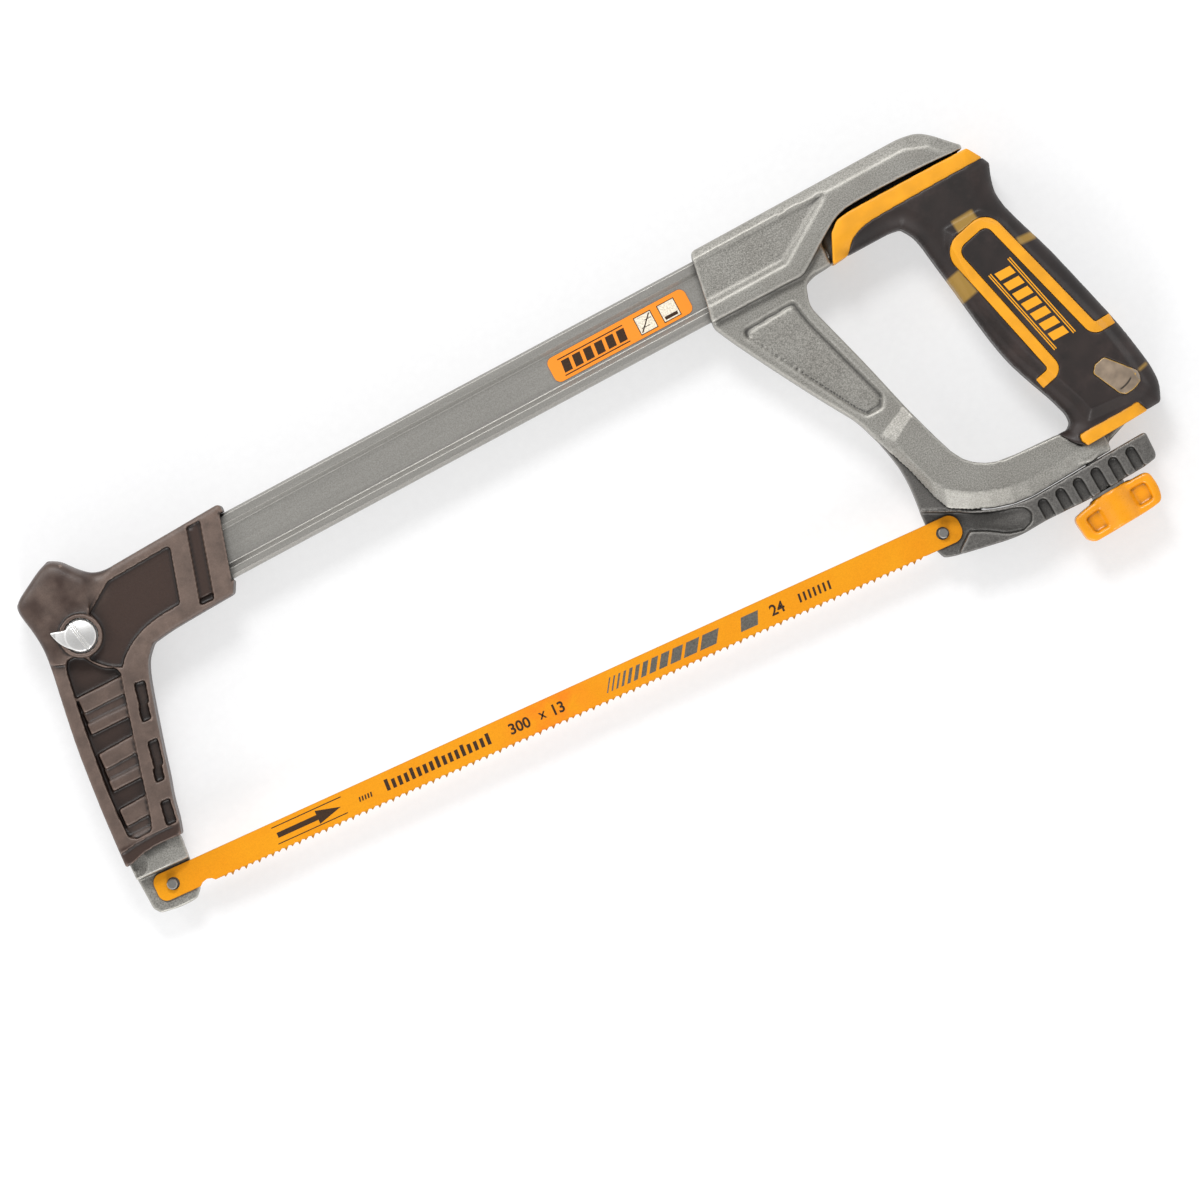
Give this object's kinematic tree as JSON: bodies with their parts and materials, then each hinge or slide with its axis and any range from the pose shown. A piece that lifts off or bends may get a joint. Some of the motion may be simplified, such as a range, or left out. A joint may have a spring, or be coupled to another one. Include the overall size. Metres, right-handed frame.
{
  "type": "hacksaw",
  "caption": "High-tension hacksaw with an aluminium spine, covered front arm, cast D-handle with rubber grip, tension lever with wing knob, and a replaceable blade.",
  "frame": {"origin": "middle of the underside, with the saw lying on its right side", "axes": "+X along the blade from the front pin to the handle, +Y from the blade to the spine, +Z out of the saw's left side"},
  "size_m": [0.4031, 0.1584, 0.0325],
  "materials": {
    "anodised_extrusion": "satin anodised",
    "label_foil": "printed foil",
    "front_casting": "metallic powder coat",
    "silver_casting": "metallic powder coat",
    "lever_casting": "metallic powder coat",
    "cover_nylon": "moulded, satin",
    "grip_rubber": "moulded, matt",
    "yellow_plastic": "moulded, satin",
    "knob_plastic": "moulded, semi-gloss",
    "smoke_inlay": "translucent",
    "blade_enamel": "stoved enamel",
    "zinc_steel": "zinc plated",
    "polished_steel": "polished",
    "black_steel": "black oxide"
  },
  "bodies": {
    "frame": {"spine_beam": "anodised_extrusion", "spine_label": "label_foil", "front_arm": "front_casting", "front_arm_rivets": "zinc_steel", "blade_pin_front": "zinc_steel", "nose_cover_left": "cover_nylon", "nose_cover_right": "cover_nylon", "nose_cover_screws": "black_steel", "clamp_washer": "polished_steel", "clamp_nut": "zinc_steel", "rear_frame": "silver_casting", "spine_lock_pins": "zinc_steel", "lever_pivot_pin": "zinc_steel", "barrel_nut": "zinc_steel", "handle_core_left": "yellow_plastic", "handle_core_right": "yellow_plastic", "grip_left": "grip_rubber", "grip_right": "grip_rubber", "accent_band_left": "yellow_plastic", "accent_band_right": "yellow_plastic", "window_inlay_left": "smoke_inlay", "window_inlay_right": "smoke_inlay", "handle_screws": "black_steel"},
    "lever": {"tension_lever": "lever_casting", "blade_pin_rear": "zinc_steel"},
    "wing_knob": {"knob": "knob_plastic", "tension_screw": "zinc_steel", "thrust_washer": "zinc_steel", "screw_retaining_ring": "zinc_steel"},
    "clamp": {"nose_clamp_screw": "polished_steel"},
    "saw_blade": {"blade": "blade_enamel"}
  },
  "joints": [
    {"name": "lever_tilt", "type": "hinge", "parent": "frame", "child": "lever", "pos_m": [0.11484, -0.02713, 0.0155], "axis": [0, 0, 1], "range_deg": [-1.36, 0]},
    {"name": "knob_spin", "type": "hinge", "parent": "lever", "child": "wing_knob", "pos_m": [0.17044, -0.07063, 0.0155], "axis": [-0.1057, 0.9944, 0], "range_deg": [-540, 0]},
    {"name": "clamp_turn", "type": "hinge", "parent": "frame", "child": "clamp", "pos_m": [-0.18206, 0.03907, 0.0155], "axis": [0, 0, 1], "range_deg": [0, 90]},
    {"name": "blade_lift_off", "type": "slide", "parent": "frame", "child": "saw_blade", "axis": [0, 0, 1], "range_m": [0, 0.012]}
  ],
  "couplings": [
    {"joint": "lever_tilt", "follows": "knob_spin", "ratio": 0.0025119}
  ]
}
